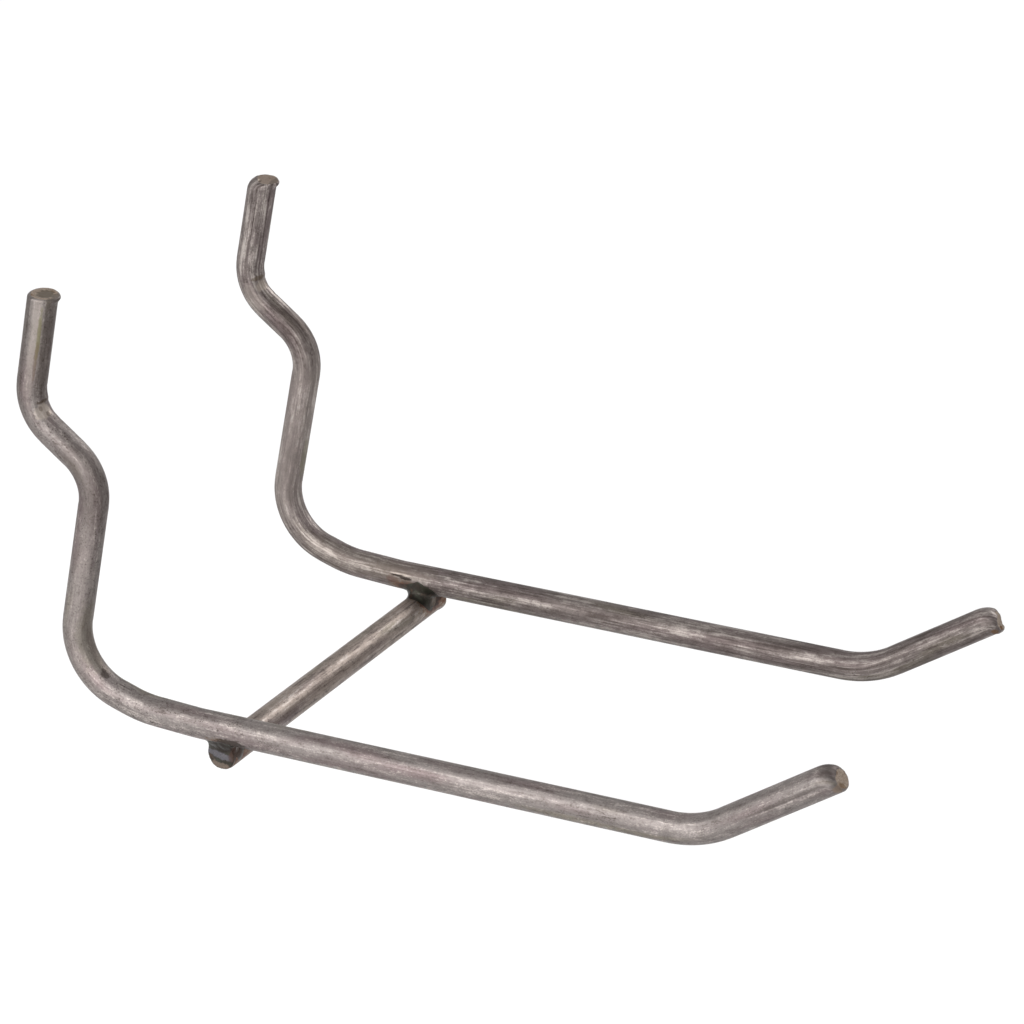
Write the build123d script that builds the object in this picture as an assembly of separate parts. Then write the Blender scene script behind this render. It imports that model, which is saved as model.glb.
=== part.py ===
from build123d import *
import os
from math import atan2, cos, degrees, radians, sin, tan

# Double hook for a pegboard: two rods of round wire, bent alike and standing side by side,
# tied by a short cross bar that is welded under both, just in front of their heels.
# Millimetres and degrees. +X points out of the board, +Y runs from the left rod to the right
# rod of someone who faces the board, and +Z is up. The origin is midway between the axes of
# the two pegs, at the height where their straight part starts above the jog.

# Wire
wire_diameter = 3.76
bar_diameter = 3.76

# Board that the hook fits, with its holes on a square grid
hole_pitch = 25.4
pitches_between_rods = 2
board_thickness = 6.35
board_play = 0.6

# Peg, jog and leg of a rod, which pass behind, through and in front of the board
peg_length = 12.0
right_peg_shortfall = 0.2
jog_drop = 5.0
jog_top_radius = 6.0
jog_bottom_radius = 6.1

# Heel, where the leg turns out into the prong in three bends, each wider than the last
heel_radius = 7.9
heel_slope = -6.0
middle_radius = 15.0
middle_slope = 9.0
middle_run = 8.0
run_in_radius = 30.0

# Prong and its upturned tip
prong_slope = 12.0
right_prong_droop = 0.55
prong_length = 67.3
tip_radius = 13.5
tip_slope = 45.0
tip_length = 20.3
right_tip_shortfall = 0.9

# Cross bar and where it crosses under the prongs
weld_reach = 21.9
weld_depth = 31.3
heel_to_weld = 3.2
bar_left_overhang = 0.5
bar_right_overhang = 2.8
set_down = 0.12

# Weld beads, round drops in the corners where the wires cross, set in from the rods' axes
left_bead_radius = 1.75
left_bead_inset = 0.5
right_bead_radius = 2.3
right_bead_inset = 0.9

# Marks of the tools: flats pressed inside the top bends, shoulders rolled over by the shears.
# A blade's turn is how far round the wire it went in, and the slant how far the cut face
# falls back towards that side. On the right tip the face leans the other way.
press_depth = 0.22
press_angle = 42.0
left_peg_shoulder = 0.4
right_peg_shoulder = 1.2
peg_slant = 8.0
peg_blade_turn = 35.0
tip_shoulder = 1.7
left_tip_slant = 4.0
right_tip_slant = -12.0
tip_blade_turn = 30.0
bar_shoulder = 0.4
bar_slant = 3.0

# Places that follow from the sizes above
wire_radius = wire_diameter / 2
bar_radius = bar_diameter / 2
rod_y = pitches_between_rods * hole_pitch / 2
leg_x = wire_diameter + board_thickness + board_play
jog_turn = degrees(atan2(leg_x, jog_drop))
jog_top_z = -jog_top_radius * tan(radians(jog_turn / 2))
weld_x = leg_x + weld_reach
weld_z = jog_top_z - weld_depth
bar_left_end = -rod_y - bar_left_overhang
bar_right_end = rod_y + bar_right_overhang
prong_up = Vector(-sin(radians(prong_slope)), 0, cos(radians(prong_slope)))


def along(slope, length):
    """Step of a given length in the side view, rising at a slope."""
    return Vector(length * cos(radians(slope)), 0, length * sin(radians(slope)))


def rod_corners(y, peg, droop, tip):
    """Corners of a rod's centre line, from the peg's cut end to the tip's.

    Every rod passes through the same weld point, so a prong that droops turns about it.
    """
    jog_top = Vector(0, y, jog_top_z)
    jog_bottom = jog_top + Vector(leg_x, 0, -jog_drop)
    weld = Vector(weld_x, y, weld_z)
    prong_start = weld - along(prong_slope - droop, heel_to_weld)
    middle_start = prong_start - along(middle_slope - droop, middle_run)
    heel_run = (middle_start.X - leg_x) / cos(radians(heel_slope - droop))
    heel = middle_start - along(heel_slope - droop, heel_run)
    tip_corner = prong_start + along(prong_slope - droop, prong_length)
    tip_end = tip_corner + along(tip_slope - droop, tip)
    return [Vector(0, y, peg), jog_top, jog_bottom, heel, middle_start, prong_start, tip_corner, tip_end]


def sheared(piece, end, outward, rolled_side, radius, shoulder, face_slant):
    """Trim one end of a wire as a shear leaves it.

    The face slants from the side where the blade went in, and that edge is rolled over.
    """
    reach = 2 * radius
    slant = tan(radians(face_slant))
    roll_top = -(2 * radius - shoulder) * slant
    centre = Vector(radius - shoulder, roll_top - shoulder)
    roll_start = Vector(centre.X, roll_top)
    roll_middle = centre + Vector(shoulder * sin(radians(45)), shoulder * cos(radians(45)))
    roll_end = Vector(radius, centre.Y)
    burr_side = (-reach, (reach - radius) * slant)
    outline = Polyline(roll_end, (reach, centre.Y), (reach, reach), (-reach, reach), burr_side, roll_start)
    waste = make_face(outline + ThreePointArc(roll_start, roll_middle, roll_end))
    cutting_plane = Plane(origin=end, x_dir=rolled_side, z_dir=rolled_side.cross(outward))
    return piece - extrude(cutting_plane * waste, amount=reach, both=True)


def pressed(piece, y):
    """Press the flat that the bending former leaves on the inside of a rod's top bend."""
    former_radius = jog_top_radius - wire_radius + press_depth
    start = 180 + jog_turn / 2 - press_angle / 2
    rim = CenterArc((0, 0), former_radius, start, press_angle)
    sector = make_face(Line((0, 0), rim @ 0) + rim + Line(rim @ 1, (0, 0)))
    former_plane = Plane(origin=(jog_top_radius, y, 0), x_dir=(1, 0, 0), z_dir=(0, -1, 0))
    return piece - extrude(former_plane * sector, amount=wire_radius, both=True)


def between(first, second, turn):
    """Direction that lies a turn away from the first of two square directions, towards the second."""
    return first * cos(radians(turn)) + second * sin(radians(turn))


def bent_rod(y, peg, droop, tip, peg_shoulder, tip_slant):
    """One rod of the hook: peg, jog, leg, heel, prong and upturned tip, bent from one wire."""
    corners = rod_corners(y, peg, droop, tip)
    radii = [jog_top_radius, jog_bottom_radius, heel_radius, middle_radius, run_in_radius, tip_radius]
    centre_line = FilletPolyline(*corners, radius=radii)
    start = Plane(origin=centre_line @ 0, z_dir=centre_line % 0)
    rod = sweep(start * Circle(wire_radius), path=centre_line)
    rod = pressed(rod, y)
    peg_side = between(Vector(-1, 0, 0), Vector(0, -1, 0), peg_blade_turn)
    rod = sheared(rod, corners[0], Vector(0, 0, 1), peg_side, wire_radius, peg_shoulder, peg_slant)
    tip_out = along(tip_slope - droop, 1)
    tip_side = between(Vector(-tip_out.Z, 0, tip_out.X), Vector(0, -1, 0), tip_blade_turn)
    return sheared(rod, corners[-1], tip_out, tip_side, wire_radius, tip_shoulder, tip_slant)


def straight_bar(rods):
    """Cross bar, set down a little into the undersides of both rods."""
    length = bar_right_end - bar_left_end
    middle = Vector(weld_x, (bar_left_end + bar_right_end) / 2, weld_z)
    middle -= prong_up * (wire_radius + bar_radius - set_down)
    bar = Plane(origin=middle, z_dir=(0, 1, 0)) * Cylinder(bar_radius, length)
    for side, rolled_side in ((Vector(0, -1, 0), prong_up * -1), (Vector(0, 1, 0), prong_up)):
        end = middle + side * (length / 2)
        bar = sheared(bar, end, side, rolled_side, bar_radius, bar_shoulder, bar_slant)
    for rod in rods:
        bar -= rod
    return bar


def weld_bead(y, radius, neighbours):
    """Bead of weld metal, a drop that fills the corners between a rod and the bar."""
    middle = Vector(weld_x, y, weld_z) - prong_up * (wire_radius - set_down / 2)
    bead = Plane(origin=middle, x_dir=(0, 1, 0), z_dir=prong_up) * Sphere(radius)
    for neighbour in neighbours:
        bead -= neighbour
    return bead


left_rod = bent_rod(-rod_y, peg_length, 0, tip_length, left_peg_shoulder, left_tip_slant)
right_peg = peg_length - right_peg_shortfall
right_tip = tip_length - right_tip_shortfall
right_rod = bent_rod(rod_y, right_peg, right_prong_droop, right_tip, right_peg_shoulder, right_tip_slant)
cross_bar = straight_bar([left_rod, right_rod])
left_weld = weld_bead(left_bead_inset - rod_y, left_bead_radius, [left_rod, cross_bar])
right_weld = weld_bead(rod_y - right_bead_inset, right_bead_radius, [right_rod, cross_bar])

os.makedirs("parts", exist_ok=True)
export_step(left_rod, "parts/left_rod.step")
export_step(right_rod, "parts/right_rod.step")
export_step(cross_bar, "parts/cross_bar.step")
export_step(left_weld, "parts/left_weld.step")
export_step(right_weld, "parts/right_weld.step")
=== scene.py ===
import math

import bmesh
import bpy
import numpy as np
from mathutils import Matrix, Vector, noise


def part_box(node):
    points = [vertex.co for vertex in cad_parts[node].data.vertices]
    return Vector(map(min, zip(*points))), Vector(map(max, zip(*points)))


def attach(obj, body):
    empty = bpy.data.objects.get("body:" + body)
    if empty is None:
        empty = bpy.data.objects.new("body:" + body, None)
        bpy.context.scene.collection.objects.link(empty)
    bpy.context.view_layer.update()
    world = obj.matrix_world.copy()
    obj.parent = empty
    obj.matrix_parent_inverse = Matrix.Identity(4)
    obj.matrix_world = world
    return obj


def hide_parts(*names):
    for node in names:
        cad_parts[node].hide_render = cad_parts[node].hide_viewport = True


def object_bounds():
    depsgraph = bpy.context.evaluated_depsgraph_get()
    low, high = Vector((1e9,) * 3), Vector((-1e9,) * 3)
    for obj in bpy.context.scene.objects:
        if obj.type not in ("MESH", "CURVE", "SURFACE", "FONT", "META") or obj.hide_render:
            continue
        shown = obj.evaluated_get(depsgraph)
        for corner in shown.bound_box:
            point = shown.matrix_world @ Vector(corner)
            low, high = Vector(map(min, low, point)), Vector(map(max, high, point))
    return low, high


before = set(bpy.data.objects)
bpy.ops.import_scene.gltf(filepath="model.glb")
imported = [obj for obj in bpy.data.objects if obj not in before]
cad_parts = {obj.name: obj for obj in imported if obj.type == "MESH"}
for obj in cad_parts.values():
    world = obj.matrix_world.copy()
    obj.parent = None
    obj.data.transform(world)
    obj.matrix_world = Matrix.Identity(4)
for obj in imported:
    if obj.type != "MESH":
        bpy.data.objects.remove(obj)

# Double hook for a pegboard, bare drawn steel wire, dressed over its CAD frame.
# Sizes are in millimetres until a mesh is written, because the frame is in metres.
metre = 0.001
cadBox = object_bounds()

leftLow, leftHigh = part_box("left_rod")
rightLow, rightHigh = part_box("right_rod")
barLow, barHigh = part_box("cross_bar")
wireRadius = (leftHigh.y - leftLow.y) / 2 / metre
rodY = (rightHigh.y + rightLow.y) / 2 / metre
print("frame loaded, wire", round(2 * wireRadius, 2), "mm")


# Helpers for materials

def linearColour(hexText):
    # sRGB hex to the linear values that a shader takes
    parts = [int(hexText[i:i + 2], 16) / 255 for i in (1, 3, 5)]
    return tuple(p / 12.92 if p <= 0.04045 else ((p + 0.055) / 1.055) ** 2.4 for p in parts) + (1.0,)


def addNode(tree, kind, settings, inputs):
    # one node with its settings and its values or links
    node = tree.nodes.new(kind)
    for name, value in settings.items():
        setattr(node, name, value)
    for socket, value in inputs.items():
        if isinstance(value, bpy.types.NodeSocket):
            tree.links.new(value, node.inputs[socket])
        else:
            node.inputs[socket].default_value = value
    return node


def newMaterial(name):
    material = bpy.data.materials.new(name)
    material.use_nodes = True
    material.node_tree.nodes.clear()
    return material, material.node_tree


def closeMaterial(tree, shader):
    addNode(tree, "ShaderNodeOutputMaterial", {}, {"Surface": shader.outputs[0]})


def grain(tree, place, size, detail, shift):
    # noise with one grain of the given size in mm, across x, across y and along the wire
    scale = tuple(1 / s for s in size)
    scaled = addNode(tree, "ShaderNodeVectorMath", {"operation": "MULTIPLY"}, {0: place, 1: scale})
    moved = addNode(tree, "ShaderNodeVectorMath", {"operation": "ADD"},
                    {0: scaled.outputs[0], 1: (shift, 1.7 * shift, 0.6 * shift)})
    cloud = addNode(tree, "ShaderNodeTexNoise", {},
                    {"Vector": moved.outputs[0], "Scale": 1.0, "Detail": detail, "Roughness": 0.6})
    return cloud.outputs[0]


def between(tree, value, low, high, toLow=0.0, toHigh=1.0):
    # value stretched from low..high to toLow..toHigh, and held there
    spread = addNode(tree, "ShaderNodeMapRange", {"interpolation_type": "SMOOTHSTEP"},
                     {"Value": value, "From Min": low, "From Max": high, "To Min": toLow, "To Max": toHigh})
    return spread.outputs[0]


def blendColour(tree, share, below, above):
    return addNode(tree, "ShaderNodeMix", {"data_type": "RGBA"}, {0: share, 6: below, 7: above}).outputs[2]


def times(tree, first, second):
    return addNode(tree, "ShaderNodeMath", {"operation": "MULTIPLY"}, {0: first, 1: second}).outputs[0]


raggedness = 1.4                     # how far noise moves the edge of a stain, a heat tint, painted shade or a painted highlight, in shares of its size


def patch(tree, place, centre, size, ragged, edge):
    # share of a stain, a heat tint, painted shade or a painted highlight: 1 inside an ellipsoid, 0 outside,
    # with an edge broken up by the noise given
    offset = addNode(tree, "ShaderNodeVectorMath", {"operation": "SUBTRACT"}, {0: place, 1: centre})
    scaled = addNode(tree, "ShaderNodeVectorMath", {"operation": "DIVIDE"}, {0: offset.outputs[0], 1: size})
    reach = addNode(tree, "ShaderNodeVectorMath", {"operation": "LENGTH"}, {0: scaled.outputs[0]})
    broken = addNode(tree, "ShaderNodeMath", {"operation": "MULTIPLY_ADD"},
                     {0: ragged, 1: raggedness, 2: reach.outputs["Value"]})
    rim = 1 + raggedness / 2
    return between(tree, broken.outputs[0], rim - edge, rim + edge, 1.0, 0.0)


# Drawn low-carbon steel wire, bare: dull grey with a warm cast from the drawing soap left on it,
# fine die lines that run along the wire and follow its bends, and small dark pits.
# To the eye: a soft broad highlight that breaks up into streaks and specks.

drawnSteel = {
    "darkStreak": "#544B48",
    "paleStreak": "#BDB4AE",
    "mauve": "#7C706F",
    "olive": "#837C70",
    "pit": "#443C39",
    "band": (1.1, 1.1, 12.0),         # broad tone, mm across the wire and along it
    "streak": (0.28, 0.28, 7.0),      # die line
    "mottle": (0.7, 0.7, 1.7),        # cloudy skin left by the drawing soap
    "fine": (0.16, 0.16, 0.3),        # grain of the skin
    "scratch": (0.16, 0.16, 11.0),    # bright line where the wire was dragged
    "smudge": (0.8, 0.8, 1.6),        # handling dirt
    "speck": (0.2, 0.2, 0.26),        # pits and dirt in them
    "hue": (2.2, 2.2, 14.0),          # slow change from olive to mauve
    "ragged": (0.5, 0.5, 0.7),        # what breaks up the edges of stains, heat tints, painted shade and painted highlights
    "mauveRange": (0.46, 0.68),       # values of the noise, or of the shade, between which a tone comes in
    "oliveRange": (0.40, 0.26),
    "oliveMost": 0.7,
    "darkRange": (0.5, 0.25),
    "paleRange": (0.5, 0.75),
    "scratchRange": (0.66, 0.76),
    "smudgeRange": (0.46, 0.7),
    "clusterRange": (0.42, 0.6),      # pits lie in clusters, and this share of them between clusters
    "clusterLeast": 0.25,
    "handledLeast": 0.4,              # share of the pits left where hands have rubbed the wire
    "markEdge": 0.25,                 # softness of the edge of a mark, whether a stain, painted shade or a painted highlight
    "tintEdge": 0.22,
    "lineDepth": 0.012,               # relief in mm
    "pitDepth": 0.004,
}

heatTint = [                          # from the outside in, each with its share of the hot spot's size
    {"colour": "#7E6D5A", "spread": 1.45},    # straw
    {"colour": "#6B4C42", "spread": 1.25},    # red-brown
    {"colour": "#38322F", "spread": 0.9},     # soot
]


def meshPosition(tree, name):
    # a place stored on the mesh in mm: "straight" is where a point lies on the straightened wire, so
    # that every pattern follows the bends, and "onFace" is where it lies on the cut face
    return addNode(tree, "ShaderNodeAttribute", {"attribute_name": name}, {}).outputs["Vector"]


def framePosition(tree):
    # place in the frame in mm
    coordinates = addNode(tree, "ShaderNodeTexCoord", {}, {})
    scaled = addNode(tree, "ShaderNodeVectorMath", {"operation": "SCALE"},
                     {0: coordinates.outputs["Object"], "Scale": 1 / metre})
    return scaled.outputs[0]


def makeDrawnSteel(name, shift, finish, marks, heat):
    material, tree = newMaterial(name)
    place = meshPosition(tree, "straight")
    bands = grain(tree, place, drawnSteel["band"], 2.0, shift)
    streaks = grain(tree, place, drawnSteel["streak"], 4.0, shift + 3)
    mottle = grain(tree, place, drawnSteel["mottle"], 5.0, shift + 13)
    fine = grain(tree, place, drawnSteel["fine"], 2.0, shift + 19)
    scratches = grain(tree, place, drawnSteel["scratch"], 1.0, shift + 4)
    smudges = grain(tree, place, drawnSteel["smudge"], 4.0, shift + 5)
    specks = grain(tree, place, drawnSteel["speck"], 4.0, shift + 7)
    hues = grain(tree, place, drawnSteel["hue"], 1.0, shift + 11)
    ragged = grain(tree, place, drawnSteel["ragged"], 4.0, shift + 17)

    dark, pale = linearColour(drawnSteel["darkStreak"]), linearColour(drawnSteel["paleStreak"])
    mauve = between(tree, hues, *drawnSteel["mauveRange"])
    colour = blendColour(tree, mauve, linearColour(finish["tone"]), linearColour(drawnSteel["mauve"]))
    olive = between(tree, hues, *drawnSteel["oliveRange"], 0.0, drawnSteel["oliveMost"])
    colour = blendColour(tree, olive, colour, linearColour(drawnSteel["olive"]))
    shade = 0.5
    for cloud, share in ((bands, "banded"), (streaks, "streaked"), (mottle, "mottled"), (fine, "grainy")):
        around = addNode(tree, "ShaderNodeMath", {"operation": "SUBTRACT"}, {0: cloud, 1: 0.5})
        shade = addNode(tree, "ShaderNodeMath", {"operation": "MULTIPLY_ADD"},
                        {0: around.outputs[0], 1: finish[share], 2: shade}).outputs[0]
    colour = blendColour(tree, between(tree, shade, *drawnSteel["darkRange"]), colour, dark)
    colour = blendColour(tree, between(tree, shade, *drawnSteel["paleRange"]), colour, pale)
    scratched = between(tree, scratches, *drawnSteel["scratchRange"], 0.0, finish["scratched"])
    colour = blendColour(tree, scratched, colour, pale)
    smudged = between(tree, smudges, *drawnSteel["smudgeRange"], 0.0, finish["smudged"])
    colour = blendColour(tree, smudged, colour, dark)
    clusters = between(tree, smudges, *drawnSteel["clusterRange"], drawnSteel["clusterLeast"], 1.0)
    alongWire = addNode(tree, "ShaderNodeSeparateXYZ", {}, {0: place}).outputs[2]
    rubbed = between(tree, alongWire, *finish["handled"], 1.0, drawnSteel["handledLeast"])
    handled = times(tree, clusters, rubbed)
    pits = times(tree, between(tree, specks, *finish["speckRange"], 0.0, finish["pitted"]), handled)
    colour = blendColour(tree, pits, colour, linearColour(drawnSteel["pit"]))

    inFrame = framePosition(tree)
    for spot in heat:
        for tint in heatTint:
            size = tuple(s * tint["spread"] for s in spot["size"])
            share = patch(tree, inFrame, spot["centre"], size, ragged, drawnSteel["tintEdge"])
            colour = blendColour(tree, times(tree, share, spot["strength"]), colour,
                                 linearColour(tint["colour"]))

    # marks: real stains and tints, and also painted shade and painted highlights, where the wire's light and
    # shade are put into its colour
    for mark in marks:
        turn = math.radians(mark["turn"])
        centre = (wireRadius * math.cos(turn), wireRadius * math.sin(turn), mark["along"])
        size = (mark["wide"], mark["wide"], mark["long"])
        share = patch(tree, place, centre, size, ragged, mark.get("edge", drawnSteel["markEdge"]))
        colour = blendColour(tree, times(tree, share, mark["strength"]), colour, linearColour(mark["colour"]))

    rough = between(tree, shade, drawnSteel["paleRange"][1], drawnSteel["darkRange"][1], *finish["roughness"])
    lines = addNode(tree, "ShaderNodeBump", {},
                    {"Strength": 1.0, "Distance": drawnSteel["lineDepth"] * metre, "Height": streaks})
    relief = addNode(tree, "ShaderNodeBump", {"invert": True},
                     {"Strength": 1.0, "Distance": drawnSteel["pitDepth"] * metre, "Height": pits,
                      "Normal": lines.outputs[0]})
    closeMaterial(tree, addNode(tree, "ShaderNodeBsdfPrincipled", {}, {
        "Base Color": colour, "Metallic": 1.0, "Roughness": rough, "Normal": relief.outputs[0]}))
    return material


# Sheared steel, the cut end of a wire: torn grey-tan metal with a little rust, rougher than the
# drawn skin. To the eye: matt, with a fine crumbly grain.

shearedSteel = {
    "tone": "#8E7F72",
    "pale": "#A5978A",
    "rust": "#6A5138",
    "tear": (0.22, 0.22, 0.22),       # crumbly grain, mm
    "rusting": (0.9, 0.9, 0.9),
    "ragged": (0.4, 0.4, 0.4),
    "tearRange": (0.4, 0.65),
    "rustRange": (0.58, 0.72),
    "rustMost": 0.8,
    "stainEdge": 0.2,
    "depth": 0.03,
    "metallic": 0.75,
    "roughness": 0.62,
}


def makeShearedSteel(name, end):
    material, tree = newMaterial(name)
    place = meshPosition(tree, "onFace")
    shift = end["seed"]
    tears = grain(tree, place, shearedSteel["tear"], 4.0, shift)
    rusting = grain(tree, place, shearedSteel["rusting"], 2.0, shift + 5)
    torn = between(tree, tears, *shearedSteel["tearRange"])
    colour = blendColour(tree, torn, linearColour(shearedSteel["tone"]), linearColour(shearedSteel["pale"]))
    rust = between(tree, rusting, *shearedSteel["rustRange"], 0.0, shearedSteel["rustMost"])
    colour = blendColour(tree, rust, colour, linearColour(shearedSteel["rust"]))
    ragged = grain(tree, place, shearedSteel["ragged"], 3.0, shift + 9)
    for stain in end["stains"]:
        share = patch(tree, place, stain["at"] + (0.0,), stain["size"] + (1.0,), ragged,
                      shearedSteel["stainEdge"])
        colour = blendColour(tree, times(tree, share, stain["strength"]), colour,
                             linearColour(stain["colour"]))
    bump = addNode(tree, "ShaderNodeBump", {},
                   {"Strength": 1.0, "Distance": shearedSteel["depth"] * metre, "Height": tears})
    closeMaterial(tree, addNode(tree, "ShaderNodeBsdfPrincipled", {}, {
        "Base Color": colour, "Metallic": shearedSteel["metallic"], "Roughness": shearedSteel["roughness"],
        "Normal": bump.outputs[0]}))
    return material


# Weld metal, arc welded and left as it set: a smooth skin of dark oxide, green-black to brown, that
# shines like glass where it bulges. To the eye: a dark drop with one cool highlight, on the left weld partly
# a painted reflection under a top darkened with painted shade.

weldMetal = {
    "oxide": "#35312C",
    "green": "#3C3C34",
    "brown": "#463A31",
    "cloud": (1.1, 1.1, 1.1),         # mm
    "crust": (0.35, 0.35, 0.35),
    "ragged": (0.6, 0.6, 0.6),
    "greenRange": (0.48, 0.62),
    "brownRange": (0.44, 0.3),
    "crustRange": (0.35, 0.7),
    "markEdge": 0.25,
    "depth": 0.012,
    "metallic": 0.8,
}


def makeWeldMetal(weld):
    material, tree = newMaterial(weld["name"] + "Oxide")
    place = framePosition(tree)
    clouds = grain(tree, place, weldMetal["cloud"], 2.0, weld["seed"])
    crust = grain(tree, place, weldMetal["crust"], 4.0, weld["seed"] + 5)
    ragged = grain(tree, place, weldMetal["ragged"], 3.0, weld["seed"] + 9)
    green = between(tree, clouds, *weldMetal["greenRange"])
    colour = blendColour(tree, green, linearColour(weldMetal["oxide"]), linearColour(weldMetal["green"]))
    brown = between(tree, clouds, *weldMetal["brownRange"])
    colour = blendColour(tree, brown, colour, linearColour(weldMetal["brown"]))
    # marks: real tints, and on the left weld also a painted reflection and painted shade
    for mark in weld["marks"]:
        centre = contact + Vector((0, weld["y"], 0)) + Vector(mark["at"])
        share = patch(tree, place, tuple(centre), mark["size"], ragged, weldMetal["markEdge"])
        colour = blendColour(tree, times(tree, share, mark["strength"]), colour, linearColour(mark["colour"]))
    rough = between(tree, crust, *weldMetal["crustRange"], *weld["roughness"])
    bump = addNode(tree, "ShaderNodeBump", {},
                   {"Strength": 1.0, "Distance": weldMetal["depth"] * metre, "Height": crust})
    closeMaterial(tree, addNode(tree, "ShaderNodeBsdfPrincipled", {}, {
        "Base Color": colour, "Metallic": weldMetal["metallic"], "Roughness": rough,
        "Normal": bump.outputs[0]}))
    return material


# The bent wires

wireRun = {                      # mm and degrees, the bends as the frame's rods have them
    "boardGap": 6.95,            # board and its play, between peg and leg
    "jogDrop": 5.0,
    "weldReach": 21.9,
    "weldDepth": 31.3,
    "bends": (6.0, 6.1, 7.9, 15.0, 30.0, 13.5),
    "heelSlope": -6.0,
    "middleSlope": 9.0,
    "middleRun": 8.0,
    "heelToWeld": 3.2,
    "prongSlope": 12.0,
    "prongLength": 67.3,
    "tipSlope": 45.0,
}

wireSkin = {
    "ringStep": 0.25,            # mm between rings of points
    "aroundCount": 96,
    "lineDepth": 0.006,          # relief of the die lines, their width and how long they run
    "lineWidth": 0.55,
    "lineLong": 14.0,
    "wave": 0.01,                # slow unevenness of the drawn wire, across it and along it
    "waveWide": 3.0,
    "waveLong": 7.0,
    "ovality": 0.015,            # a tight bend squeezes the wire in its own plane
    "tightBend": 6.0,            # radius from which it is squeezed in full
    "wallFrom": 0.75,            # share of the radius where the wall's relief begins
}

cutShape = {                     # what all sheared ends have in common, mm
    "faceShares": (0.0, 0.12, 0.24, 0.36, 0.48, 0.58, 0.68, 0.76, 0.84, 0.9, 0.96, 1.0),
    "rimSteps": 12,
    "wallSteps": 14,
    "wallCrowd": 1.4,            # crowds the wall's rows towards the rim
    "tear": 0.45,                # grain of the torn face
    "notchSoft": 0.2,
    "dishFrom": 0.85,            # radii between which a dished face rises to its rim
    "dishTo": 1.25,
    "riseFrom": 0.7,             # shares of the face's radius from which a burr lifts it and pushes it out
    "lipFrom": 0.8,
    "lipPower": 5,               # how narrow the burr is round the wire
    "lipLeast": 0.85,
    "lipUneven": 0.4,
    "lipGrain": 2.5,             # ripples of the burr round the wire
    "foldStep": 2,               # row of the rim where rolled-over skin stands proud, and over how many
    "foldWide": 1.5,
    "foldFrom": 0.5,             # widths of the rim between which that fold comes in
    "foldTo": 1.0,
}

legX = 2 * wireRadius + wireRun["boardGap"]
jogTurn = math.atan2(legX, wireRun["jogDrop"])
jogTop = Vector((0, -wireRun["bends"][0] * math.tan(jogTurn / 2)))
weldPoint = Vector((legX + wireRun["weldReach"], jogTop.y - wireRun["weldDepth"]))


def slope(degrees, length=1.0):
    # a step in the side view, x out from the board and y up
    return Vector((length * math.cos(math.radians(degrees)), length * math.sin(math.radians(degrees))))


def rodCorners(peg, droop, tip):
    jogBottom = jogTop + Vector((legX, -wireRun["jogDrop"]))
    prongStart = weldPoint - slope(wireRun["prongSlope"] - droop, wireRun["heelToWeld"])
    middleStart = prongStart - slope(wireRun["middleSlope"] - droop, wireRun["middleRun"])
    heelStep = slope(wireRun["heelSlope"] - droop)
    heel = middleStart - heelStep * ((middleStart.x - legX) / heelStep.x)
    tipCorner = prongStart + slope(wireRun["prongSlope"] - droop, wireRun["prongLength"])
    tipEnd = tipCorner + slope(wireRun["tipSlope"] - droop, tip)
    return [Vector((0, peg)), jogTop, jogBottom, heel, middleStart, prongStart, tipCorner, tipEnd]


def bentLine(corners, radii):
    # the line as stretches of one curvature: start, direction, length, curvature
    stretches = []
    start = corners[0]
    for corner, radius, before, after in zip(corners[1:], radii, corners, corners[2:]):
        inward = (corner - before).normalized()
        outward = (after - corner).normalized()
        turn = math.atan2(inward.x * outward.y - inward.y * outward.x, inward.dot(outward))
        cut = radius * math.tan(abs(turn) / 2)
        arcStart = corner - inward * cut
        stretches.append((start, inward, (arcStart - start).length, 0.0))
        stretches.append((arcStart, inward, radius * abs(turn), math.copysign(1 / radius, turn)))
        start = corner + outward * cut
    stretches.append((start, (corners[-1] - start).normalized(), (corners[-1] - start).length, 0.0))
    return stretches


def lineLength(stretches):
    return sum(s[2] for s in stretches)


def placeOn(stretches, distance):
    # point, heading and curvature at a distance along the line
    for start, heading, length, curve in stretches:
        if distance <= length or (start, heading, length, curve) == stretches[-1]:
            break
        distance -= length
    left = Vector((-heading.y, heading.x))
    if curve == 0.0:
        return start + heading * distance, heading, 0.0
    turned = curve * distance
    point = start + heading * (math.sin(turned) / curve) + left * ((1 - math.cos(turned)) / curve)
    return point, heading * math.cos(turned) + left * math.sin(turned), curve


def smooth(value, low, high):
    share = min(max((value - low) / (high - low), 0.0), 1.0)
    return share * share * (3 - 2 * share)


def dent(distance, turn, mark):
    # depth of a pressed mark: a sharp step where the tool's edge bit, fading out along the wire
    along = smooth(distance, mark["from"], mark["from"] + mark["edge"])
    along *= 1 - smooth(distance, mark["to"] - mark["fade"], mark["to"])
    across = abs((turn - mark["turn"] + 180) % 360 - 180)
    return mark["depth"] * along * (1 - smooth(across, mark["half"] - mark["soft"], mark["half"]))


def inFace(end, u, v):
    # place on a cut end, towards the side that the shear rolled over and across it
    rolled = math.radians(end["rolled"])
    return u * math.cos(rolled) + v * math.sin(rolled), v * math.cos(rolled) - u * math.sin(rolled)


def faceHeight(end, u, v):
    # height of the torn face at a place on it, 0 at the edge opposite the roll
    toRoll, across = inFace(end, u, v)
    height = -math.tan(math.radians(end["slant"])) * (toRoll + wireRadius)
    soft = cutShape["notchSoft"]
    height -= end["notch"] * smooth(across, end["notchAt"] - soft, end["notchAt"] + soft)
    away = math.hypot(u - end["dishAt"][0], v - end["dishAt"][1])
    height -= end["dish"] * (1 - smooth(away, cutShape["dishFrom"], cutShape["dishTo"]))
    grainy = 0.5 + 0.5 * noise.noise(Vector((u / cutShape["tear"], v / cutShape["tear"], end["seed"])))
    return height - end["crumble"] * grainy


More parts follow.
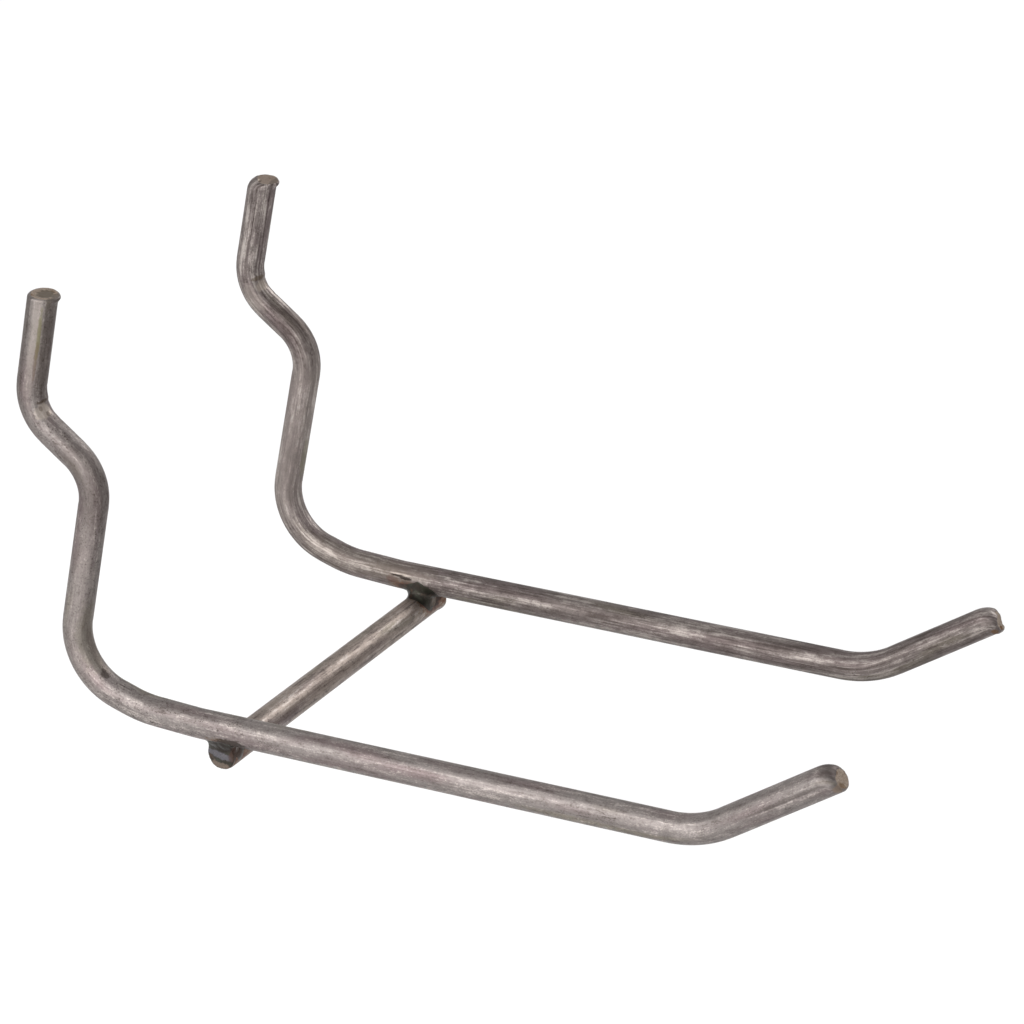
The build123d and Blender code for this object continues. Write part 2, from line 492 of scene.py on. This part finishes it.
def endRim(end, turn):
    # how wide the rounded edge is at a turn and how far it reaches down the wire: widest where the
    # shear rolled the skin over, narrow on the other side
    share = ((1 + math.cos(turn - math.radians(end["rolled"]))) / 2) ** end["rollFade"]
    width = end["edge"] + (end["shoulder"] - end["edge"]) * share
    return width, end["edge"] + (end["rollLong"] - end["edge"]) * share


def endRows(end):
    # rows of (height, turn, radius) from the middle of the face over its rounded edge and down the wall
    turns = [2 * math.pi * i / wireSkin["aroundCount"] for i in range(wireSkin["aroundCount"])]
    rims, lips = [], []
    for turn in turns:
        width, reach = endRim(end, turn)
        rim = wireRadius - width
        rims.append((rim, width, reach, faceHeight(end, rim * math.cos(turn), rim * math.sin(turn))))
        ripple = cutShape["lipGrain"]
        uneven = noise.noise(Vector((ripple * math.cos(turn), ripple * math.sin(turn), end["seed"])))
        opposite = (1 - math.cos(turn - math.radians(end["rolled"] + end["burrTurn"]))) / 2
        lip = opposite ** cutShape["lipPower"]
        lips.append(lip * (cutShape["lipLeast"] + cutShape["lipUneven"] * uneven))
    rows = []
    for share in cutShape["faceShares"]:
        row = []
        for turn, (rim, _, _, _), lip in zip(turns, rims, lips):
            radius = rim * share
            rise = end["burrUp"] * lip * smooth(share, cutShape["riseFrom"], 1.0)
            out = end["burrOut"] * lip * smooth(share, cutShape["lipFrom"], 1.0)
            height = faceHeight(end, radius * math.cos(turn), radius * math.sin(turn)) + rise
            row.append((height, turn, radius + out))
        rows.append(row)
    for step in range(1, cutShape["rimSteps"] + 1):
        lean = math.radians(90 * step / cutShape["rimSteps"])
        ridge = end["fold"] * math.exp(-((step - cutShape["foldStep"]) / cutShape["foldWide"]) ** 2)
        row = []
        for turn, (rim, width, reach, top), lip in zip(turns, rims, lips):
            folded = ridge * smooth(width, cutShape["foldFrom"], cutShape["foldTo"])
            height = top - reach * (1 - math.cos(lean)) + folded + end["burrUp"] * lip * math.cos(lean)
            row.append((height, turn, rim + width * math.sin(lean) + end["burrOut"] * lip))
        rows.append(row)
    foot = rows[-1]
    for step in range(1, cutShape["wallSteps"] + 1):
        share = (step / cutShape["wallSteps"]) ** cutShape["wallCrowd"]
        row = []
        for (top, turn, _), lip in zip(foot, lips):
            height = top + (-end["settle"] - top) * share
            out = end["burrOut"] * lip * math.exp(-((top - height) / end["burrLong"]) ** 2)
            row.append((height, turn, wireRadius + out))
        rows.append(row)
    return rows


def skinPlace(end, turn, radius, distance):
    # where a point of an end belongs on the drawn skin: a roll carries the skin over the edge with it
    u, v = radius * math.cos(turn), radius * math.sin(turn)
    toRoll, across = inFace(end, u, v)
    if toRoll < 0 or radius >= wireRadius:
        return Vector((u, v, distance))
    rolled = math.radians(end["rolled"])
    out = math.sqrt(max(wireRadius ** 2 - across ** 2, 0.0))
    return Vector((out * math.cos(rolled) - across * math.sin(rolled),
                   out * math.sin(rolled) + across * math.cos(rolled), distance))


def makeWire(name, placeAt, length, skin, startEnd, finishEnd, materials):
    # a swept wire: rows of points from the middle of one cut face to the middle of the other
    around = wireSkin["aroundCount"]
    turns = [2 * math.pi * i / around for i in range(around)]
    rows = [[(-height, turn, radius) for height, turn, radius in row] for row in endRows(startEnd)]
    firstRing, lastRing = startEnd["settle"], length - finishEnd["settle"]
    count = round((lastRing - firstRing) / wireSkin["ringStep"])
    for i in range(1, count):
        distance = firstRing + (lastRing - firstRing) * i / count
        rows.append([(distance, turn, wireRadius) for turn in turns])
    for row in reversed(endRows(finishEnd)):
        rows.append([(length + height, turn, radius) for height, turn, radius in row])

    mesh = bpy.data.meshes.new(name)
    work = bmesh.new()
    straight = work.verts.layers.float_vector.new("straight")
    onFace = work.verts.layers.float_vector.new("onFace")
    grid = []
    for row in rows:
        line = []
        if row[0][2] == 0.0:
            row = row[:1]
        for distance, turn, radius in row:
            point, up, side = placeAt(distance)
            end = startEnd if distance < length / 2 else finishEnd
            wall = smooth(radius, wireSkin["wallFrom"] * wireRadius, wireRadius)
            worn = radius + wall * skin(distance, turn)
            offset = up * (worn * math.cos(turn)) + side * (worn * math.sin(turn))
            vertex = work.verts.new((point + offset) * metre)
            vertex[straight] = skinPlace(end, turn, radius, distance)
            vertex[onFace] = (radius * math.cos(turn), radius * math.sin(turn), 0.0)
            line.append(vertex)
        grid.append(line)
    tornRows = len(cutShape["faceShares"]) - 1
    # material slots: 0 for the drawn skin, 1 and 2 for the first and the last cut face
    for k, (line, after) in enumerate(zip(grid, grid[1:])):
        slot = 1 if k < tornRows else 2 if k > len(grid) - 2 - tornRows else 0
        for i in range(around):
            j = (i + 1) % around
            if len(line) == 1:
                corners = (line[0], after[j], after[i])
            elif len(after) == 1:
                corners = (line[i], line[j], after[0])
            else:
                corners = (line[i], line[j], after[j], after[i])
            face = work.faces.new(corners)
            face.smooth = True
            face.material_index = slot
    bmesh.ops.recalc_face_normals(work, faces=work.faces)
    work.to_mesh(mesh)
    work.free()
    piece = bpy.data.objects.new(name, mesh)
    bpy.context.scene.collection.objects.link(piece)
    for material in materials:
        mesh.materials.append(material)
    return piece


def dieLines(distance, turn, seed):
    # relief of the die lines at a place on the wire, 0 or less
    around = Vector((math.cos(turn), math.sin(turn), 0)) * wireRadius
    lines = noise.noise(Vector((around.x / wireSkin["lineWidth"], around.y / wireSkin["lineWidth"],
                                distance / wireSkin["lineLong"] + seed)))
    return wireSkin["lineDepth"] * (lines - 1)


def makeRod(rod):
    line = bentLine(rodCorners(rod["peg"], rod["droop"], rod["tip"]), wireRun["bends"])
    length = lineLength(line)

    def placeAt(distance):
        point, heading, _ = placeOn(line, distance)
        up = Vector((-heading.y, 0, heading.x))
        return Vector((point.x, rod["y"], point.y)), up, Vector((0, 1, 0))

    def skin(distance, turn):
        _, _, curve = placeOn(line, distance)
        around = Vector((math.cos(turn), math.sin(turn), 0)) * wireRadius
        waves = noise.noise(Vector((around.x / wireSkin["waveWide"], around.y / wireSkin["waveWide"],
                                    distance / wireSkin["waveLong"] + rod["seed"])))
        tight = min(abs(curve) * wireSkin["tightBend"], 1.0)
        squeeze = tight * wireSkin["ovality"] * (1 + math.cos(2 * turn)) / 2
        pressed = sum(dent(distance, math.degrees(turn), mark) for mark in rod["dents"])
        relief = dieLines(distance, turn, rod["seed"]) + wireSkin["wave"] * (waves - 1)
        return relief - wireRadius * squeeze - pressed

    marks = [dict(mark, along=mark["along"] if mark["along"] >= 0 else length + mark["along"])
             for mark in rod["marks"]]
    skinMaterial = makeDrawnSteel(rod["name"] + "DrawnSteel", rod["seed"], rod["finish"], marks, rod["heat"])
    pegFace = makeShearedSteel(rod["name"] + "PegShearedSteel", rod["pegEnd"])
    tipFace = makeShearedSteel(rod["name"] + "TipShearedSteel", rod["tipEnd"])
    piece = makeWire(rod["name"], placeAt, length, skin, rod["pegEnd"], rod["tipEnd"],
                     [skinMaterial, pegFace, tipFace])
    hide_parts(rod["node"])
    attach(piece, "root")


cutEnd = {                       # a sheared end with nothing special about it, mm and degrees
    "rolled": 180.0, "shoulder": 0.4, "rollLong": 0.4, "rollFade": 2.0, "edge": 0.12, "slant": 3.0,
    "fold": 0.0, "notch": 0.0, "notchAt": 0.0, "dish": 0.0, "dishAt": (0.0, 0.0), "crumble": 0.06,
    "burrOut": 0.1, "burrUp": 0.0, "burrLong": 0.5, "burrTurn": 0.0, "settle": 3.0, "seed": 1.0,
    "stains": [],
}

weldCentre = Vector((weldPoint.x, 0, weldPoint.y))
prongStep = slope(wireRun["prongSlope"])
prongAlong = Vector((prongStep.x, 0, prongStep.y))
prongUp = Vector((-prongAlong.z, 0, prongAlong.x))
contact = weldCentre - prongUp * wireRadius      # where the bar touches the rods, at y 0

# The rods in mm and degrees. A mark or a dent is placed by its distance from the peg's cut face, or from
# the tip's if that is negative, and by its turn round the wire from the side inside the first bend, which
# is also the top of the prong: at -90 it faces the camera. Hands have rubbed a rod between its two
# "handled" distances and beyond.

leftRod = {
    "name": "leftRod", "node": "left_rod", "y": -rodY, "seed": 2.0,
    "peg": 12.0, "droop": 0.0, "tip": 20.3,
    "finish": {"tone": "#87807D", "banded": 0.35, "streaked": 0.4, "mottled": 0.4, "grainy": 0.4,
               "scratched": 0.2, "smudged": 0.3, "pitted": 0.9, "speckRange": (0.53, 0.64),
               "handled": (70.0, 90.0), "roughness": (0.44, 0.54)},
    "pegEnd": dict(cutEnd, rolled=215.0, shoulder=0.4, edge=0.26, slant=8.0, dish=0.1, dishAt=(0.25, 0.1),
                   burrOut=0.36, burrLong=0.45, burrTurn=-30.0, seed=3.0, stains=[
                       {"at": (0.2, 0.1), "size": (1.1, 1.1), "colour": "#645B50", "strength": 0.9},
                       {"at": (1.75, 0.4), "size": (0.5, 1.3), "colour": "#5E5650", "strength": 0.7},
                   ]),
    "tipEnd": dict(cutEnd, rolled=-28.0, shoulder=1.55, rollLong=2.3, rollFade=1.2, edge=0.2, slant=4.0,
                   burrOut=0.0, crumble=0.1, seed=5.0, stains=[
                       {"at": (-1.3, -0.5), "size": (0.6, 0.6), "colour": "#6A5138", "strength": 0.7},
                   ]),
    "dents": [
        {"from": 14.5, "to": 18.0, "edge": 0.6, "fade": 1.6, "turn": 0.0, "half": 62.0, "soft": 20.0,
         "depth": 0.13},
    ],
    "marks": [
        # painted shade: the peg's upper side darkened along its length
        {"along": 6.0, "turn": -18.0, "wide": 1.25, "long": 9.0, "edge": 0.4, "colour": "#4A403B",
         "strength": 0.6},
        # painted highlight: a paler band on the peg's side facing the camera
        {"along": 5.0, "turn": -72.0, "wide": 0.7, "long": 8.0, "edge": 0.6, "colour": "#B0A7A0",
         "strength": 0.5},
        # painted shade along the peg's lower edge
        {"along": 7.0, "turn": -130.0, "wide": 0.9, "long": 11.0, "edge": 0.5, "colour": "#5A514D",
         "strength": 0.45},
        {"along": 5.2, "turn": -56.0, "wide": 0.24, "long": 3.4, "colour": "#77734F", "strength": 0.6},
        {"along": 8.6, "turn": -57.0, "wide": 0.22, "long": 2.6, "colour": "#6A574A", "strength": 0.45},
        {"along": 14.6, "turn": -12.0, "wide": 1.0, "long": 0.28, "colour": "#54483F", "strength": 0.7},
        {"along": 16.2, "turn": -27.0, "wide": 1.2, "long": 1.2, "colour": "#BDB1A6", "strength": 0.55},
        {"along": 15.6, "turn": -35.0, "wide": 0.3, "long": 0.4, "colour": "#6B5F56", "strength": 0.6},
        {"along": 16.9, "turn": -14.0, "wide": 0.25, "long": 0.5, "colour": "#5B5048", "strength": 0.6},
        # painted shade in the lower bend of the jog
        {"along": 26.5, "turn": -58.0, "wide": 2.0, "long": 6.0, "colour": "#544946", "strength": 0.4},
        # painted highlight down the leg's side facing the camera
        {"along": 42.0, "turn": -76.0, "wide": 1.4, "long": 12.0, "edge": 0.5, "colour": "#B5AAA4",
         "strength": 0.2},
        {"along": 48.5, "turn": -15.0, "wide": 1.6, "long": 6.0, "colour": "#7C766A", "strength": 0.45},
        {"along": 54.9, "turn": -22.0, "wide": 0.45, "long": 0.8, "colour": "#4A423E", "strength": 0.75},
        {"along": 54.2, "turn": -14.0, "wide": 0.3, "long": 0.4, "colour": "#4A423E", "strength": 0.75},
        # painted shade on the rod's underside beside the weld, over a real dark seam there
        {"along": 74.8, "turn": -138.0, "wide": 1.2, "long": 2.6, "colour": "#3B322D", "strength": 0.9},
        # painted shade on the rolled shoulder beside the tip's cut face
        {"along": -0.7, "turn": -20.0, "wide": 1.5, "long": 1.1, "colour": "#4F4744", "strength": 0.6},
        {"along": -6.5, "turn": -87.0, "wide": 0.24, "long": 5.6, "edge": 0.4, "colour": "#4F4744",
         "strength": 0.55},
        {"along": -0.3, "turn": -122.0, "wide": 1.0, "long": 0.55, "colour": "#8C7C6E", "strength": 0.75},
    ],
    "heat": [
        {"centre": contact + Vector((1.2, -rodY - 0.8, 0.3)), "size": (1.8, 1.4, 0.85), "strength": 0.95},
    ],
}

rightRod = {
    "name": "rightRod", "node": "right_rod", "y": rodY, "seed": 31.0,
    "peg": 11.8, "droop": 0.55, "tip": 19.4,
    "finish": {"tone": "#7E7572", "banded": 0.8, "streaked": 0.9, "mottled": 0.5, "grainy": 0.3,
               "scratched": 0.7, "smudged": 0.35, "pitted": 0.7, "speckRange": (0.54, 0.66),
               "handled": (160.0, 170.0), "roughness": (0.46, 0.6)},
    "pegEnd": dict(cutEnd, rolled=215.0, shoulder=1.2, rollLong=1.5, edge=0.2, slant=8.0, fold=0.1,
                   burrOut=0.4, burrUp=0.05, burrLong=0.4, burrTurn=-30.0, crumble=0.08, seed=7.0, stains=[
                       {"at": (0.4, 0.2), "size": (1.5, 1.5), "colour": "#7D6E64", "strength": 0.6},
                       {"at": (1.6, 0.3), "size": (0.5, 1.4), "colour": "#5E534B", "strength": 0.7},
                       {"at": (-0.45, -0.8), "size": (0.22, 0.6), "colour": "#C9BDB0", "strength": 0.8},
                       {"at": (-0.05, -0.9), "size": (0.2, 0.5), "colour": "#5A4F46", "strength": 0.7},
                   ]),
    "tipEnd": dict(cutEnd, rolled=-28.0, shoulder=1.6, rollLong=2.6, rollFade=1.2, edge=0.2, slant=-12.0,
                   notch=0.35, notchAt=0.1, burrOut=0.12, burrLong=0.3, burrTurn=50.0, crumble=0.15,
                   settle=3.6, seed=9.0, stains=[
                       {"at": (-1.5, -0.5), "size": (0.5, 0.6), "colour": "#6A4A2A", "strength": 0.9},
                   ]),
    "dents": [
        {"from": 14.2, "to": 17.8, "edge": 0.6, "fade": 1.6, "turn": 0.0, "half": 62.0, "soft": 20.0,
         "depth": 0.12},
    ],
    "marks": [
        {"along": 14.3, "turn": -25.0, "wide": 1.1, "long": 0.4, "colour": "#5C4E3D", "strength": 0.6},
        {"along": 15.8, "turn": -20.0, "wide": 1.1, "long": 0.9, "colour": "#B0A498", "strength": 0.5},
        # painted highlight: a paler patch on the side facing the camera
        {"along": 17.0, "turn": -84.0, "wide": 1.0, "long": 2.2, "colour": "#A9A098", "strength": 0.35},
        # painted shade in the lower bend of the jog
        {"along": 25.0, "turn": -52.0, "wide": 1.9, "long": 5.0, "colour": "#574C49", "strength": 0.35},
        # painted highlight: the leg lightened over its side facing the camera
        {"along": 39.0, "turn": -60.0, "wide": 4.0, "long": 13.0, "colour": "#A39A94", "strength": 0.4},
        {"along": 41.8, "turn": 0.0, "wide": 0.8, "long": 3.0, "colour": "#77755C", "strength": 0.4},
        # painted shade that dims the highlight on the side facing the camera, in a dull olive tone
        {"along": 62.0, "turn": -62.0, "wide": 1.8, "long": 9.0, "colour": "#7A7168", "strength": 0.4},
        {"along": 68.6, "turn": -90.0, "wide": 0.6, "long": 0.9, "colour": "#63473E", "strength": 0.6},
        # painted shade that dims the highlight above the weld
        {"along": 70.2, "turn": -48.0, "wide": 1.5, "long": 4.5, "colour": "#746A63", "strength": 0.55},
        {"along": 69.8, "turn": -64.0, "wide": 0.16, "long": 1.5, "colour": "#C4B8AE", "strength": 0.5},
        {"along": 69.3, "turn": -71.0, "wide": 0.16, "long": 0.9, "colour": "#2E2723", "strength": 0.9},
        {"along": 70.6, "turn": -78.0, "wide": 0.2, "long": 0.9, "colour": "#2E2723", "strength": 0.9},
        # painted shade over the lit side of the prong and tip
        {"along": 117.0, "turn": -80.0, "wide": 5.0, "long": 44.0, "colour": "#574F4C", "strength": 0.4},
        {"along": -0.4, "turn": -135.0, "wide": 0.5, "long": 0.4, "colour": "#6A4A2A", "strength": 0.6},
    ],
    "heat": [
        {"centre": contact + Vector((-1.0, rodY - 1.2, 0.6)), "size": (2.1, 1.6, 0.9), "strength": 0.8},
    ],
}

makeRod(leftRod)
makeRod(rightRod)
print("rods bent")


# The cross bar, a straight piece of the same wire under both prongs

crossBar = {
    "name": "crossBar", "node": "cross_bar", "seed": 57.0, "setDown": 0.12,
    "finish": {"tone": "#9B8F87", "banded": 0.4, "streaked": 0.6, "mottled": 0.5, "grainy": 0.3,
               "scratched": 0.2, "smudged": 0.35, "pitted": 0.7, "speckRange": (0.54, 0.66),
               "handled": (60.0, 70.0), "roughness": (0.42, 0.54)},
    "leftEnd": dict(cutEnd, rolled=180.0, shoulder=0.6, edge=0.6, crumble=0.03, burrOut=0.0, seed=11.0),
    "rightEnd": dict(cutEnd, rolled=0.0, shoulder=0.4, burrOut=0.35, burrLong=0.6, burrTurn=-95.0, seed=13.0),
    "marks": [
        {"along": 22.0, "turn": 75.0, "wide": 0.6, "long": 16.0, "colour": "#5F5148", "strength": 0.3},
    ],
    "heat": [
        {"centre": contact + Vector((0, -rodY + 1.2, -0.8)), "size": (2.4, 2.6, 1.6), "strength": 0.85},
        {"centre": contact + Vector((1.3, rodY, -0.5)), "size": (1.9, 2.3, 1.3), "strength": 0.85},
    ],
}


def makeBar():
    low, high = barLow.y / metre, barHigh.y / metre
    middle = weldCentre - prongUp * (2 * wireRadius - crossBar["setDown"])

    def placeAt(distance):
        return middle + Vector((0, low + distance, 0)), prongUp, prongAlong

    def skin(distance, turn):
        return dieLines(distance, turn, crossBar["seed"])

    skinMaterial = makeDrawnSteel(crossBar["name"] + "DrawnSteel", crossBar["seed"], crossBar["finish"],
                                  crossBar["marks"], crossBar["heat"])
    leftFace = makeShearedSteel("crossBarLeftShearedSteel", crossBar["leftEnd"])
    rightFace = makeShearedSteel("crossBarRightShearedSteel", crossBar["rightEnd"])
    piece = makeWire(crossBar["name"], placeAt, high - low, skin, crossBar["leftEnd"], crossBar["rightEnd"],
                     [skinMaterial, leftFace, rightFace])
    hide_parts(crossBar["node"])
    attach(piece, "root")


makeBar()
print("cross bar laid")


# The welds, weld metal that has flowed into the corners between a rod and the bar

leftWeld = {
    "name": "leftWeld", "node": "left_weld", "y": -rodY, "droop": 0.0, "seed": 4.0,
    "centre": (0.0, 0.5, -0.4),      # from the contact, along the prong, along the bar and up
    "reach": (2.3, 1.9, 2.1),
    "flow": 1.6,                     # how far the metal runs up both wires
    "uneven": 0.2,
    "dome": (0.0, 1.1, -1.5, 1.75),  # the melted end of the bar: its place from the contact, and radius
    "cap": 3.2,                      # farthest that its surface may lie from the centre
    "inset": 0.0,                    # how far it stops short of the bar's ends
    "roughness": (0.14, 0.3),
    "marks": [                       # from the contact, in the frame's directions
        # painted reflection: the light band on the bar's melted end
        {"at": (0.1, -0.5, -1.5), "size": (1.9, 1.6, 0.5), "colour": "#66646A", "strength": 0.7},
        # painted shade on the top of the bead, under the rod
        {"at": (0.35, -0.5, -0.1), "size": (1.8, 1.8, 0.8), "colour": "#2B2522", "strength": 0.85},
        {"at": (0.7, -0.5, -3.3), "size": (1.8, 1.6, 0.8), "colour": "#75675D", "strength": 0.75},
        # heat tint on the bar's side, darkened with painted shade under the rod
        {"at": (2.2, -0.2, -0.8), "size": (0.8, 1.6, 1.2), "colour": "#44322B", "strength": 0.7},
    ],
}

rightWeld = {
    "name": "rightWeld", "node": "right_weld", "y": rodY, "droop": 0.55, "seed": 9.0,
    "centre": (0.4, -1.0, 0.0),
    "reach": (2.5, 2.0, 2.0),
    "flow": 1.7,
    "uneven": 0.1,
    "dome": None,
    "cap": 4.4,
    "inset": 0.3,
    "roughness": (0.3, 0.45),
    "marks": [
        {"at": (1.6, 0.6, -0.6), "size": (1.6, 1.6, 1.0), "colour": "#5A4A3C", "strength": 0.7},
    ],
}

weldFlow = {                         # how weld metal runs, mm
    "subdivisions": 6,
    "heldTo": 0.55,                  # share of its reach that the bead fills, and over how much it thins out
    "thinsOver": 0.75,
    "leastFlow": 0.05,
    "proud": 0.06,                   # above the wires in its middle, and sunk into them past its edge
    "sunk": 0.09,
    "swell": 2.2,                    # waves of the noise round the bead
    "ripple": 7.0,
    "rippleHigh": 0.015,
    "domeFlow": 0.5,
    "nearest": 0.1,                  # search along each ray, from here to the bead's cap
    "steps": 44,
    "halvings": 14,
}


def fromLine(points, origin, direction):
    # distance of each point from a line
    offset = points - origin
    return np.linalg.norm(offset - np.outer(offset @ direction, direction), axis=1)


def flowTogether(first, second, amount):
    # the lesser of two distances, rounded where they are nearly alike
    share = np.maximum(amount - np.abs(first - second), 0) / amount
    return np.minimum(first, second) - share * share * amount / 4


def makeWeld(weld):
    along, bar, up = np.array(prongAlong), np.array((0.0, 1.0, 0.0)), np.array(prongUp)
    rodPoint = np.array((weldPoint.x, weld["y"], weldPoint.y))
    touch = rodPoint - up * wireRadius
    barPoint = rodPoint - up * (2 * wireRadius - crossBar["setDown"])
    tilt = math.radians(wireRun["prongSlope"] - weld["droop"])
    rodDirection = np.array((math.cos(tilt), 0.0, math.sin(tilt)))
    heart = touch + along * weld["centre"][0] + bar * weld["centre"][1] + up * weld["centre"][2]

    work = bmesh.new()
    bmesh.ops.create_icosphere(work, subdivisions=weldFlow["subdivisions"], radius=1.0)
    rays = np.array([v.co.normalized() for v in work.verts])
    seedX, seedY = Vector((weld["seed"], 0, 0)), Vector((0, weld["seed"], 0))
    wobble = np.array([noise.noise(Vector(r) * weldFlow["swell"] + seedX) for r in rays])
    ripple = np.array([noise.noise(Vector(r) * weldFlow["ripple"] + seedY) for r in rays])

    def surface(reach):
        points = heart + rays * reach[:, None]
        toRod = fromLine(points, rodPoint, rodDirection) - wireRadius
        toBar = fromLine(points, barPoint, bar) - wireRadius
        toBar = np.maximum(toBar, barLow.y / metre + weld["inset"] - points[:, 1])
        toBar = np.maximum(toBar, points[:, 1] - barHigh.y / metre + weld["inset"])
        local = (points - heart) @ np.array([along, bar, up]).T / np.array(weld["reach"])
        spread = np.linalg.norm(local, axis=1) + weld["uneven"] * wobble
        held = 1 - np.clip((spread - weldFlow["heldTo"]) / weldFlow["thinsOver"], 0, 1) ** 2
        height = flowTogether(toRod, toBar, weldFlow["leastFlow"] + weld["flow"] * held)
        height = height - weldFlow["proud"] * held + weldFlow["sunk"] * (1 - held)
        height += weldFlow["rippleHigh"] * ripple * held
        if weld["dome"]:
            ahead, sideways, rise, size = weld["dome"]
            ball = touch + along * ahead + bar * sideways + up * rise
            drop = np.linalg.norm(points - ball, axis=1) - size
            height = flowTogether(height, drop, weldFlow["domeFlow"])
        return height

    low, high = np.zeros(len(rays)), np.full(len(rays), weld["cap"])
    crossed = np.zeros(len(rays), bool)
    for step in np.linspace(weldFlow["nearest"], weld["cap"], weldFlow["steps"]):
        outside = surface(np.full(len(rays), step)) > 0
        fresh = outside & ~crossed
        high[fresh] = step
        low[fresh] = step - weld["cap"] / weldFlow["steps"]
        crossed |= outside
    low[~crossed] = weld["cap"]
    for _ in range(weldFlow["halvings"]):
        middle = (low + high) / 2
        outside = surface(middle) > 0
        high = np.where(outside, middle, high)
        low = np.where(outside, low, middle)
    for vertex, ray, reach in zip(work.verts, rays, (low + high) / 2):
        vertex.co = Vector(heart + ray * reach) * metre
    for face in work.faces:
        face.smooth = True
    mesh = bpy.data.meshes.new(weld["name"])
    work.to_mesh(mesh)
    work.free()
    mesh.materials.append(makeWeldMetal(weld))
    piece = bpy.data.objects.new(weld["name"], mesh)
    bpy.context.scene.collection.objects.link(piece)
    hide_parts(weld["node"])
    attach(piece, "root")


makeWeld(leftWeld)
makeWeld(rightWeld)
print("welds run")


# Floor, lamps and world: a plain white table under three soft boxes and a small lamp over its front

studio = {
    "floorDrop": 50.0,           # mm below the lowest point of the hook
    "floorSize": 8.0,            # m
    "floor": "#FFFFFF",
    "floorInMetal": "#E4E4E4",   # what the wire mirrors of it
    "worldGrey": 0.64,
    "aim": (55.0, 0.0, -20.0),   # mm, what the soft boxes face
}

softBoxes = [                    # azimuth from +X towards +Y and elevation in degrees, distance and size in m
    {"name": "frontBox", "azimuth": -112.0, "elevation": 20.0, "distance": 1.3, "size": 2.0, "level": 1.65},
    {"name": "backBox", "azimuth": 79.0, "elevation": 34.0, "distance": 1.3, "size": 0.7, "level": 3.2},
    {"name": "leftBox", "azimuth": 150.0, "elevation": 30.0, "distance": 1.3, "size": 0.8, "level": 0.6},
]

frontPool = {"name": "frontPool", "at": (35.0, -175.0), "height": 110.0, "size": 0.2, "level": 2.3}


def makeFloor():
    half = studio["floorSize"] / 2
    drop = cadBox[0].z - studio["floorDrop"] * metre
    corners = [(x * half, y * half, drop) for x, y in ((-1, -1), (1, -1), (1, 1), (-1, 1))]
    mesh = bpy.data.meshes.new("floor")
    mesh.from_pydata(corners, [], [(0, 1, 2, 3)])
    material, tree = newMaterial("matt white card")   # plain card: no gloss, so it shows only a faint shadow
    ray = addNode(tree, "ShaderNodeLightPath", {}, {})
    colour = blendColour(tree, ray.outputs["Is Camera Ray"], linearColour(studio["floorInMetal"]),
                         linearColour(studio["floor"]))
    closeMaterial(tree, addNode(tree, "ShaderNodeBsdfDiffuse", {}, {"Color": colour}))
    mesh.materials.append(material)
    floor = bpy.data.objects.new("floor", mesh)
    bpy.context.scene.collection.objects.link(floor)


def makeDisc(lamp):
    # a round lamp with the watts that give its face the level asked for, where 1 is white
    data = bpy.data.lights.new(lamp["name"], "AREA")
    data.shape = "DISK"
    data.size = lamp["size"]
    data.energy = lamp["level"] * math.pi * math.pi * (lamp["size"] / 2) ** 2
    disc = bpy.data.objects.new(lamp["name"], data)
    bpy.context.scene.collection.objects.link(disc)
    return disc


def makeBox(lamp):
    azimuth, elevation = math.radians(lamp["azimuth"]), math.radians(lamp["elevation"])
    direction = Vector((math.cos(azimuth) * math.cos(elevation), math.sin(azimuth) * math.cos(elevation),
                        math.sin(elevation)))
    box = makeDisc(lamp)
    box.location = Vector(studio["aim"]) * metre + direction * lamp["distance"]
    box.rotation_euler = direction.to_track_quat("Z", "Y").to_euler()


def makePool(lamp):
    # faces down on the table in front, so that upright wires pick up a bright patch below them
    pool = makeDisc(lamp)
    height = cadBox[0].z + (lamp["height"] - studio["floorDrop"]) * metre
    pool.location = (lamp["at"][0] * metre, lamp["at"][1] * metre, height)


def makeWorld():
    world = bpy.data.worlds.new("studio")
    world.use_nodes = True
    tree = world.node_tree
    tree.nodes.clear()
    grey = studio["worldGrey"]
    sky = addNode(tree, "ShaderNodeBackground", {}, {"Color": (grey, grey, grey, 1.0), "Strength": 1.0})
    addNode(tree, "ShaderNodeOutputWorld", {}, {"Surface": sky.outputs[0]})
    bpy.context.scene.world = world


makeFloor()
for lamp in softBoxes:
    makeBox(lamp)
makePool(frontPool)
makeWorld()
bpy.context.scene.view_settings.view_transform = "Standard"
print("studio lit")


# The camera, at the photograph's angle

viewpoint = {
    "azimuth": 22.754, "elevation": 27.487, "roll": 11.071,   # degrees
    "distance": 477.206, "right": 46.683, "up": -21.182,      # mm, from the jog's upper corner
    "focal": 3777.34,            # pixels in a picture 1024 wide
    "sensor": 36.0, "width": 1024,
}


def makeCamera():
    azimuth, elevation, roll = (math.radians(viewpoint[k]) for k in ("azimuth", "elevation", "roll"))
    back = Vector((math.sin(azimuth) * math.cos(elevation), -math.cos(azimuth) * math.cos(elevation),
                   math.sin(elevation)))
    level = Vector((math.cos(azimuth), math.sin(azimuth), 0))
    upright = back.cross(level)
    right = level * math.cos(roll) + upright * math.sin(roll)
    up = upright * math.cos(roll) - level * math.sin(roll)
    eye = right * viewpoint["right"] + up * viewpoint["up"] + back * viewpoint["distance"]
    eye += Vector((jogTop.x, 0, jogTop.y))
    data = bpy.data.cameras.new("camera")
    data.sensor_width = viewpoint["sensor"]
    data.lens = viewpoint["focal"] / viewpoint["width"] * viewpoint["sensor"]
    data.clip_start, data.clip_end = 0.01, 50.0
    camera = bpy.data.objects.new("camera", data)
    turn = Matrix((right, up, back)).transposed().to_4x4()
    camera.matrix_world = Matrix.Translation(eye * metre) @ turn
    bpy.context.scene.collection.objects.link(camera)
    bpy.context.scene.camera = camera


makeCamera()
print("camera set")
